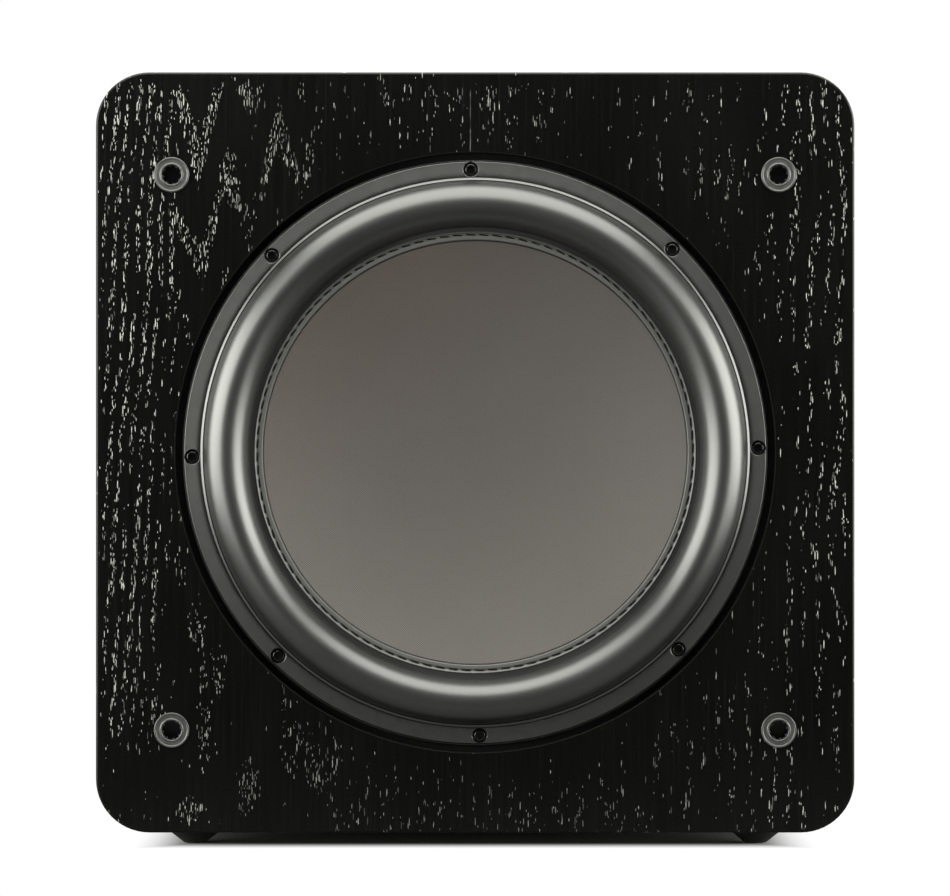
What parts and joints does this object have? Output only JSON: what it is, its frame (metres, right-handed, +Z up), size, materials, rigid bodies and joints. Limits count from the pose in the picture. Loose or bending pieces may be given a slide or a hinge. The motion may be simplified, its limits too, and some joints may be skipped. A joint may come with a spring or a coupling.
{
  "type": "subwoofer cabinet",
  "caption": "Powered subwoofer: black veneered box with a large long-throw driver in its front, sockets for a grille, and an amplifier plate with controls on its back.",
  "frame": {"origin": "on the floor, under the middle of the whole object", "axes": "+X to the right as seen from the front, +Y from front to back, +Z up"},
  "size_m": [0.425, 0.4922, 0.4363],
  "materials": {
    "veneer": "black open-pored veneer, satin",
    "back_paint": "black paint on board, matt",
    "board": "raw board",
    "foam": "open foam",
    "rubber": "black, satin",
    "surround_rubber": "black, satin, smooth",
    "socket_plastic": "dark grey, satin",
    "dark_plastic": "black",
    "woven_dish": "warm grey diagonal weave, matt",
    "stitched_tape": "black ribbed tape with stitches",
    "paper_cone": "black pulp",
    "spider_cloth": "resin-dipped cloth",
    "black_metal": "black, satin",
    "screw_black": "black, glossy",
    "plated_steel": "zinc plated",
    "cast_aluminium": "cast, fine texture",
    "ferrite": "dark grey, matt",
    "motor_steel": "black passivated",
    "copper": "enamelled copper",
    "former_film": "amber film",
    "circuit_board": "green board",
    "winding_tape": "yellow tape over copper",
    "cable_jacket": "black",
    "blue_lens": "clear blue"
  },
  "bodies": {
    "cabinet": {"front_baffle": "veneer", "left_panel": "veneer", "right_panel": "veneer", "top_panel": "veneer", "bottom_panel": "veneer", "back_panel": "back_paint", "window_brace": "board", "damping_pad": "foam", "driver_gasket": "foam", "amp_gasket": "foam", "foot_front_left": "rubber", "foot_front_right": "rubber", "foot_rear_left": "rubber", "foot_rear_right": "rubber", "trim_ring": "rubber", "surround": "surround_rubber", "grille_socket_top_left": "socket_plastic", "grille_socket_top_right": "socket_plastic", "grille_socket_bottom_left": "socket_plastic", "grille_socket_bottom_right": "socket_plastic", "driver_basket": "cast_aluminium", "shorting_ring": "cast_aluminium", "tinsel_lead_left": "copper", "tinsel_lead_right": "copper", "spider": "spider_cloth", "top_plate": "motor_steel", "pole_yoke": "motor_steel", "magnet": "ferrite", "driver_screw_1": "screw_black", "driver_screw_2": "screw_black", "driver_screw_3": "screw_black", "driver_screw_4": "screw_black", "driver_screw_5": "screw_black", "driver_screw_6": "screw_black", "driver_screw_7": "screw_black", "driver_screw_8": "screw_black", "terminal_block": "dark_plastic", "capacitor_left": "dark_plastic", "capacitor_right": "dark_plastic", "power_inlet": "dark_plastic", "switch_bezel": "dark_plastic", "line_jacks": "dark_plastic", "speaker_cable": "cable_jacket", "amp_plate": "black_metal", "heatsink": "black_metal", "amp_chassis": "plated_steel", "main_board": "circuit_board", "transformer": "winding_tape", "status_lens": "blue_lens"},
    "cone": {"cone_dish": "woven_dish", "stitch_band": "stitched_tape", "cone_body": "paper_cone", "coil_former": "former_film", "coil_winding": "copper"},
    "rocker": {"power_rocker": "dark_plastic"},
    "volume": {"volume_knob": "dark_plastic"},
    "crossover": {"crossover_knob": "dark_plastic"},
    "phase": {"phase_knob": "dark_plastic"},
    "drawer": {"fuse_drawer": "dark_plastic"},
    "slider": {"mode_slider": "dark_plastic"}
  },
  "joints": [
    {"name": "cone_travel", "type": "slide", "parent": "cabinet", "child": "cone", "axis": [0, 1, 0], "range_m": [-0.018, 0.018], "stiffness_N_per_m": 3500, "deforming": ["surround", "spider", "tinsel_lead_left", "tinsel_lead_right"]},
    {"name": "power_rocker_tip", "type": "hinge", "parent": "cabinet", "child": "rocker", "pos_m": [-0.05809, 0.22375, 0.10306], "axis": [1, 0, 0], "range_deg": [-18, 0]},
    {"name": "volume_turn", "type": "hinge", "parent": "cabinet", "child": "volume", "pos_m": [0.06192, 0.22375, 0.23132], "axis": [0, 1, 0], "range_deg": [-150, 150]},
    {"name": "crossover_turn", "type": "hinge", "parent": "cabinet", "child": "crossover", "pos_m": [0, 0.22375, 0.23132], "axis": [0, 1, 0], "range_deg": [-150, 150]},
    {"name": "phase_turn", "type": "hinge", "parent": "cabinet", "child": "phase", "pos_m": [-0.06192, 0.22375, 0.23132], "axis": [0, 1, 0], "range_deg": [-150, 150]},
    {"name": "fuse_drawer_slide", "type": "slide", "parent": "cabinet", "child": "drawer", "axis": [0, 1, 0], "range_m": [0, 0.014]},
    {"name": "mode_slide", "type": "slide", "parent": "cabinet", "child": "slider", "axis": [1, 0, 0], "range_m": [0, 0.004]}
  ]
}
